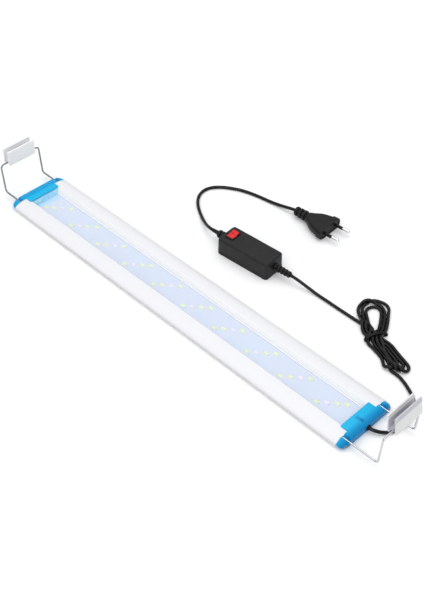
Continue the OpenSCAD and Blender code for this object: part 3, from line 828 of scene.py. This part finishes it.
def lamp_section():
    """The outline of the extrusion and its hollows."""
    floor, foot_y, ledge_y, ledge_z, wall_z = 1.2, 14.7, 15.8, 3.3, 4.4
    ridge_end = RIDGE_Y + 1
    channel = eased([(0, floor), (foot_y, floor), (foot_y, ledge_z), (ledge_y, ledge_z), (ledge_y, wall_z),
                     (RIDGE_Y, RIDGE_HEIGHT), (ridge_end, RIDGE_HEIGHT)], 0.25)[1:-1]
    half = channel + wing(ridge_end, HALF_WIDTH, RIDGE_HEIGHT, NOSE)
    half += underside(FLAT_BACK, HALF_WIDTH, NOSE, 0)
    chamber = [(16.2, 1.2), (23.2, 1.2), (23.2, 7.2), (19.6, 7.5), (17.4, 3.2)]
    guide_r = 1.2
    guide = [(LEG_Y + guide_r * math.cos(a), LEG_Z + guide_r * math.sin(a))
             for a in np.linspace(0, 2 * math.pi, 20, endpoint=False)]
    holes = [[(side * y, z) for y, z in hole] for side in (1, -1) for hole in (chamber, guide)]
    return both_sides(half), holes


def extrusion(outline, holes, x0, x1):
    """A profile with holes, drawn out along X."""
    work = bmesh.new()
    for loop in [outline, *holes]:
        corners = [work.verts.new((x0, y, z)) for y, z in loop]
        for a, b in zip(corners, corners[1:] + corners[:1]):
            work.edges.new((a, b))
    bmesh.ops.triangle_fill(work, edges=work.edges[:], use_beauty=True, use_dissolve=False)
    ends = bmesh.ops.extrude_face_region(work, geom=work.faces[:], use_keep_orig=True)
    new = [v for v in ends["geom"] if isinstance(v, bmesh.types.BMVert)]
    bmesh.ops.translate(work, verts=new, vec=(x1 - x0, 0, 0))
    work.verts.index_update()
    points = [tuple(v.co) for v in work.verts]
    faces = sorted(tuple(v.index for v in f.verts) for f in work.faces)
    work.free()
    return points, faces


def lamp_shell():
    """The extrusion in one length."""
    outline, holes = lamp_section()
    solid = extrusion(outline, holes, -SHELL_X, SHELL_X)
    piece("housing_extrusion", solid, "white_aluminium", replaces=["lamp_shell"], sharp=30)


def led_places(blue):
    """The middles of the LEDs of one colour: slanted rows of four with one blue LED in each."""
    rows, pitch, run, span, shift = 10, 44.2, 22.3, 17.4, -1.6
    for row in range(rows):
        blue_place = 2 if row % 2 == 0 else 1
        for place in range(4):
            along = place / 3 - 0.5
            if (place == blue_place) == blue:
                yield (row - (rows - 1) / 2) * pitch + along * run + shift, along * span


def led_package(x, y):
    """A moulded package with a chamfered rim round its round cup."""
    length, width, height, cup, cup_depth = 5.7, 3.0, 0.6, 1.28, 0.22
    rim = [(0, 0, 0.35), (0.06, height - 0.12, 0.35), (0.16, height, 0.4)]
    rings = [rounded_ring(length - 2 * inset, width - 2 * inset, r, z, 5) for inset, z, r in rim]
    turns = [math.atan2(py, px) for px, py, _ in rings[-1]]
    for r, z in ((cup, height), (cup - cup_depth, height - cup_depth)):
        rings.append([(r * math.cos(t), r * math.sin(t), z) for t in turns])
    return moved(loft(rings), Matrix.Translation((x, y, BOARD_TOP)))


def upright(x, y):
    """The place on the board at which a solid of revolution stands up."""
    return Matrix.Translation((x, y, BOARD_TOP)) @ Matrix.Rotation(-math.pi / 2, 4, "Y")


def led_window(x, y):
    """The domed filling of a package's cup."""
    cup = 1.2
    dome = [(0.34, cup), (0.5, cup), (0.64, cup * 0.88), (0.74, cup * 0.62), (0.79, cup * 0.3), (0.8, 0.02)]
    return moved(lathe(dome, 24), upright(x, y))


def led_terminals(x, y):
    """Tinned end terminals with their solder fillets."""
    ends = [(2.75, 1.0, 0.3), (3.05, 1.1, 0.16), (3.4, 1.2, 0.04)]
    parts = [
        loft([
            [(side * ex, -w, 0), (side * ex, w, 0), (side * ex, w * 0.9, h), (side * ex, -w * 0.9, h)]
            for ex, w, h in ends
        ])
        for side in (-1, 1)
    ]
    return moved(join(*parts), Matrix.Translation((x, y, BOARD_TOP)))


def leds():
    """The LEDs of each colour as packages and windows, and all their terminals."""
    for blue, kind in ((False, "white"), (True, "blue")):
        places = list(led_places(blue))
        slot = kind + "_led"
        piece(kind + "_led_packages", join(*(led_package(x, y) for x, y in places)), slot,
              replaces=[kind + "_leds"])
        piece(kind + "_led_windows", join(*(led_window(x, y) for x, y in places)), slot)
    every = [p for blue in (False, True) for p in led_places(blue)]
    piece("led_terminals", join(*(led_terminals(x, y) for x, y in every)), "contact_metal")


def seal(name, side):
    """A hand-laid bead of sealant across the channel, under the cap's tab and a little past it."""
    back, edge = SHELL_X - 4.6, SHELL_X - 8.2
    run = 3.0 if name == "left" else 0.3
    low, high = BOARD_TOP + 0.02, RIDGE_HEIGHT - 0.05
    half, foot, slices = 17, 14.5, 32
    rings = []
    for i in range(slices + 1):
        y = half * (2 * i / slices - 1)
        beside = max(0.0, (abs(y) - foot) / 2.6)
        base = low + (high - low) * beside**1.1 * 0.62
        toe = edge - run + 0.3 * math.sin(y * 0.9 + side) + 0.2 * math.sin(y * 2.3)
        rings.append([
            (side * back, y, base), (side * (toe + 0.1), y, base), (side * toe, y, base + 0.15),
            (side * (toe + 0.3 * run), y, base + (high - base) * 0.45),
            (side * (edge - 0.1 * run), y, base + (high - base) * 0.86), (side * back, y, high),
        ])
    made = piece("sealant_bead_" + name, loft(rings), "clear_sealant",
                 replaces=["channel_seal_" + name], sharp=80)
    rounding = made.modifiers.new("rounding", "SUBSURF")
    rounding.levels = rounding.render_levels = 1


def cap_ring(x, inset, plan):
    """The end cap's outline at one place along the lamp, drawn in all round and narrowed in plan."""
    outer, edge = HALF_WIDTH - 1 - plan, NOSE + 0.2
    half = wing(19.7 - inset * 0.4, outer, CAP_TOP - inset * 0.6, edge, 18)
    half += underside(FLAT_BACK - inset * 0.5, outer, edge, inset * 0.45, 8)
    return [(x, y, z) for y, z in both_sides(half)]


def leg_slot(y, start, end):
    """The flared slot over a leg, open along the cap's top."""
    widths = [(LEG_Z + 0.2, 0.85), (LEG_Z + 1.0, 0.95), (CAP_TOP + 1, 3.0)]
    outline = [(y + half, z) for z, half in widths] + [(y - half, z) for z, half in reversed(widths)]
    return loft([[(x, py, pz) for py, pz in outline] for x in (start, end)])


def round_off(past, radius):
    """How far a quarter-round edge has drawn in, this far past its start."""
    past = min(max(past, 0), radius)
    return radius - math.sqrt(radius * radius - past * past)


def cap_strip():
    """The strip across the lamp's end, rounded in at its end and at its corners."""
    turn_in, corner = 2.4, 5.2
    stations = [SHELL_X, SHELL_X + 2, CABLE_END - corner - 0.4]
    stations += [CABLE_END - corner + corner * math.sin(math.radians(a)) for a in range(0, 91, 9)]
    return loft([
        cap_ring(x, round_off(x - CABLE_END + turn_in, turn_in), round_off(x - CABLE_END + corner, corner))
        for x in stations
    ])


def cap_tab():
    """The thin tab over the channel's end."""
    reach, width, overlap = 8.4, 39.4, 1
    rings = [
        rounded_ring(reach + 2 * overlap - 2 * inset, width - 2 * inset, 1.1, z, 5)
        for inset, z in ((0.1, RIDGE_HEIGHT + 0.05), (0, RIDGE_HEIGHT + 0.2), (0, CAP_TOP - 0.4),
                         (0.1, CAP_TOP - 0.15), (0.35, CAP_TOP - 0.01))
    ]
    return moved(loft(rings), Matrix.Translation((SHELL_X - reach / 2 + overlap, 0, 0)))


def cap_cuts(name):
    """The cap's hollow, its holes and slots for the legs, its screw holes and the cable's hole."""
    leg_hole, cable_hole = 2.12, 5.2
    screw_y, screw_z, screw_hole, screw_head = 30.6, 3.7, 2.2, 3.9
    inside = SHELL_X - 1
    cuts = [slab((inside, -13, BOARD_TOP + 0.4), (CABLE_END - 2, 13, RIDGE_HEIGHT - 0.8))]
    for y in (-1, 1):
        cuts.append(rod((inside, y * LEG_Y, LEG_Z), 10, leg_hole))
        cuts.append(leg_slot(y * LEG_Y, inside, CABLE_END + 1))
        cuts.append(rod((inside, y * screw_y, screw_z), 10, screw_hole))
        cuts.append(rod((CABLE_END - 1.6, y * screw_y, screw_z), 3, screw_head))
    if name == "right":
        cuts.append(rod((SHELL_X + 1, 0, CABLE_Z), 10, cable_hole))
    return cuts


def end_cap(name):
    """A moulded cap: a strip across the lamp's end with a tab over its channel."""
    solids = [cap_strip(), cap_tab(), *cap_cuts(name)]
    if name == "left":
        solids = [mirrored(s) for s in solids]
    made = piece("end_cap_moulding_" + name, solids[0], "blue_plastic", replaces=["end_cap_" + name])
    shaped(made, added=solids[1:2], cut=solids[2:])
    soften(made, 0.22, angle=48)


def supply_leads():
    """The cable's jacket and its two leads, bent down to their solder joints."""
    drop = [(0, 1.35), (0.25, 1.3), (0.6, 1.0), (0.9, 0.65), (1.1, 0.2)]
    wires, joints = [], []
    for y in (-1, 1):
        way = [(CABLE_END - 3.2, 0.7 * y, CABLE_Z), (CABLE_END - 5.5, 1.2 * y, CABLE_Z + 0.3),
               (SHELL_X - 0.6, 1.9 * y, CABLE_Z - 0.2), (SHELL_X - 2.4, 2.0 * y, BOARD_TOP + 0.5)]
        wires.append(tube(curve_through(way, 0.5), 0.6, 12))
        joints.append(moved(lathe(drop, 20), upright(SHELL_X - 2.6, 2.0 * y)))
    piece("lead_wires", join(*wires), "lead_wire", replaces=["supply_leads"])
    piece("lead_solder_joints", join(*joints), "contact_metal")
    piece("cable_jacket_end", rod((CABLE_END - 3.4, 0, CABLE_Z), 4.4, LAMP_CORD_D), "cord_black")


# ---- Wire brackets ----

def arc(start, along, towards, radius, angle):
    """The points of a bend that leaves its start along one direction and turns towards another."""
    turns = [angle * i / 10 for i in range(1, 11)]
    return [start + radius * (along * math.sin(a) + towards * (1 - math.cos(a))) for a in turns]


def bracket_path(side, reach):
    """The line of a bracket's wire: leg, bend, upright, bend, crossbar and back down."""
    leg, low_r, high_r, lean, top = 131, 3.5, 4.0, math.radians(3), 40.6
    outward, upward, inward = Vector((1, 0, 0)), Vector((0, 0, 1)), Vector((0, -1, 0))
    bend = Vector((CABLE_END + reach - low_r, LEG_Y, LEG_Z))
    half = [bend - outward * leg * i / 6 for i in range(6, -1, -1)]
    half += arc(bend, outward, upward, low_r, math.pi / 2 - lean)
    foot = half[-1]
    climb = Vector((math.sin(lean), 0, math.cos(lean)))
    straight = (top - foot.z) / math.cos(lean) - high_r
    half += [foot + climb * straight * i / 4 for i in range(1, 5)]
    half += arc(half[-1], climb, inward, high_r, math.pi / 2)
    whole = half + [Vector((half[-1].x, 0, half[-1].z))] + [Vector((p.x, -p.y, p.z)) for p in reversed(half)]
    return [(side * p.x, p.y, p.z) for p in whole]


def bracket_wire(name, side):
    """The wire, with its cut ends rounded over."""
    path = np.array(bracket_path(side, BRACKET_REACH[name]))
    inward = np.array([0.05, 0.25, 0.6])
    end_radii = [0.55, 0.72, 0.9, 1.0]
    along = (path[1] - path[0]) / np.linalg.norm(path[1] - path[0])
    lead, tail = (end + inward[:, None] * along for end in (path[0], path[-1]))
    line = np.vstack([path[:1], lead, path[1:-1], tail[::-1], path[-1:]])
    radii = np.full(len(line), end_radii[-1])
    radii[:4] = end_radii
    radii[-4:] = end_radii[::-1]
    piece(name + "_bracket_rod", tube(line, radii, 24), "stainless_wire", name + "_bracket",
          [name + "_bracket_wire"])


# ---- Driver ----

def driver_lid():
    """The driver's upper shell: rounded edges, a slight draft and an open underside."""
    length, width, height = DRIVER_LENGTH, DRIVER_WIDTH, DRIVER_HEIGHT
    seam, wall, edge, corner, cord_hole = 3.6, 1.6, 2.8, 3.6, 6.2
    outer = [
        rounded_ring(length - 0.5, width - 0.5, 3.0, seam),
        rounded_ring(length, width, 3.2, seam + 0.3),
        rounded_ring(length - 0.2, width - 0.2, corner, height - edge),
    ]
    for a in range(15, 91, 15):
        inset = edge * (1 - math.cos(math.radians(a))) + 0.1
        rise = height - edge + edge * math.sin(math.radians(a))
        outer.append(rounded_ring(length - 2 * inset, width - 2 * inset, max(1.2, corner - inset), rise))
    made = piece("driver_top_case", moved(loft(outer), DRIVER), "driver_black", replaces=["driver_lid"])
    inside = [rounded_ring(length - 2 * wall, width - 2 * wall, 1.6, z) for z in (seam - 1, height - wall)]
    switch = slab((-28.3, -6.2, height - 4), (-18.7, 6.8, height + 4))
    cuts = [loft(inside), switch, rod((-length / 2 - 5, *MAINS_EXIT), 10, cord_hole),
            rod((length / 2 - 5, *OUTPUT_EXIT), 10, cord_hole)]
    return shaped(made, cut=[moved(c, DRIVER) for c in cuts], sharp=32)


def boot(profile, name, place, node):
    """A strain relief as a solid of revolution."""
    return piece(name, moved(lathe(profile, 36), place), "relief_rubber", replaces=[node], sharp=50)


def ribbed(base_d, tip_d, length, ribs, start=0.0):
    """The outline of a strain relief: rounded ribs that get smaller towards its tip."""
    step = length / ribs
    profile = []
    for i in range(ribs):
        r = (base_d + (tip_d - base_d) * i / max(1, ribs - 1)) / 2
        x = start + i * step
        groove = r - 1.8
        profile += [(x, groove), (x + 0.02, r - 0.35), (x + 0.12 * step, r - 0.05), (x + 0.3 * step, r),
                    (x + 0.5 * step, r - 0.03), (x + 0.64 * step, r - 0.35), (x + 0.67 * step, groove),
                    (x + 0.97 * step, groove - 0.05)]
    return profile


def strain_reliefs():
    """The two reliefs in the driver's end walls, each with a collar inside its wall."""
    output_end = Matrix.Translation((DRIVER_LENGTH / 2, *OUTPUT_EXIT))
    mains_end = Matrix.Translation((-DRIVER_LENGTH / 2, *MAINS_EXIT)) @ Matrix.Rotation(math.pi, 4, "Z")
    inner = [(-2.6, 2.0), (-2.6, 4.0), (-1.65, 4.0), (-1.6, 3.0), (0, 3.0)]
    profile = inner + ribbed(8.6, 7, 21, 5) + [(20.9, 2.2), (21.0, 1.9)]
    output = boot(profile, "output_relief_boot", DRIVER @ output_end, "output_strain_relief")
    sleeve = [(12.4, 2.5), (14, 2.3), (17, 2.15), (19.4, 2.05), (19.9, 2.0), (20, 1.9)]
    profile = inner + ribbed(9.4, 9, 12.4, 3) + sleeve
    mains = boot(profile, "mains_relief_boot", DRIVER @ mains_end, "mains_strain_relief")
    return output, mains


# ---- Plug ----

def plug_ring(x, width, thick, blend):
    """A section of the plug: from round at its neck (0) to a flat oval at its face (1)."""
    power = 2 / (2 + 1.4 * blend)
    turns = np.linspace(0, 2 * math.pi, 48, endpoint=False)
    ys, zs = (np.sign(f) * np.abs(f) ** power for f in (np.cos(turns), np.sin(turns)))
    return [(x, width / 2 * y, thick / 2 * z) for y, z in zip(ys, zs)]


def plug_body():
    """The moulded plug: ribbed neck, hollow shoulders and a stepped collar round its face."""
    neck = [(x, 2 * r, 2 * r, 0) for x, r in ribbed(10.6, 11.6, 15.6, 3, 0.8)]
    body = [(16.5, 8.6, 8, 0), (16.9, 12.2, 10, 0), (18, 13, 10.4, 0.15), (19.6, 14.2, 10.6, 0.3),
            (21.4, 16, 10.9, 0.45), (23.2, 18.6, 11.2, 0.6), (25.4, 21.6, 11.6, 0.75),
            (28, 24.6, 12, 0.9), (32, 27.6, 12.4, 1), (36, 29.8, 12.7, 1), (40.2, 31.6, 12.9, 1),
            (40.5, 31.6, 12.8, 1), (40.7, 34.4, 13.4, 1), (41.0, 35.0, 13.6, 1), (46.9, 35.3, 13.7, 1),
            (47.4, 35.0, 13.4, 1), (47.6, 34.4, 12.8, 1), (47.6, 32.4, 10.8, 1), (47.0, 32.0, 10.4, 1)]
    rings = [plug_ring(*row) for row in neck + body]
    made = piece("plug_moulding", moved(loft(rings), PLUG), "plug_black", replaces=["plug_body"], sharp=46)
    pin_y, pin_hole = 9.5, 3.5
    cuts = [moved(rod((38, y, 0), 12, pin_hole), PLUG) for y in (-pin_y, pin_y)]
    return shaped(made, cut=cuts, sharp=46)


# ---- Everything in its place ----

materials = make_materials()
make_camera()
make_studio()

lamp_path = lamp_cord()
lamp_flex = cord_curve("lamp_cord", lamp_path, LAMP_CORD_D,
                       ["lamp_cord_near", "cord_bundle", "lamp_cord_far"])
mains_path = mains_cord()
mains_flex = cord_curve("mains_flex", mains_path, MAINS_CORD_D, ["mains_cord"])
tie = piece("twist_tie", twist_tie(lamp_path), "tie_black", replaces=["cord_tie"], sharp=60)

lamp_shell()
leds()
for name, side in SIDES.items():
    seal(name, side)
    end_cap(name)
supply_leads()
for name, side in SIDES.items():
    bracket_wire(name, side)
top_case = driver_lid()
output_boot, mains_boot = strain_reliefs()
plug = plug_body()

# CAD nodes that stay, with their finish and the rounding of their edges
DRESSED = {
    "led_board": ("board_white", 0), "clear_cover": ("clear_acrylic", 0),
    "cap_screws_left": ("screw_steel", 0.12), "cap_screws_right": ("screw_steel", 0.12),
    "cable_grommet": ("black_rubber", 0.25),
    "left_foot_clip": ("white_plastic", 0.35), "right_foot_clip": ("white_plastic", 0.35),
    "driver_base": ("driver_black", 0.3), "driver_board": ("circuit_board", 0),
    "driver_transformer": ("transformer_tape", 0.3), "driver_capacitors": ("capacitor_sleeve", 0.3),
    "driver_choke": ("ferrite", 0.2), "switch_frame": ("switch_black", 0.3),
    "switch_rocker": ("switch_red", 0.4), "switch_terminals": ("contact_metal", 0.1),
    "plug_pins": ("pin_metal", 0), "pin_sleeves": ("sleeve_black", 0),
}
for node, (slot, edge) in DRESSED.items():
    dress(node, slot, edge)
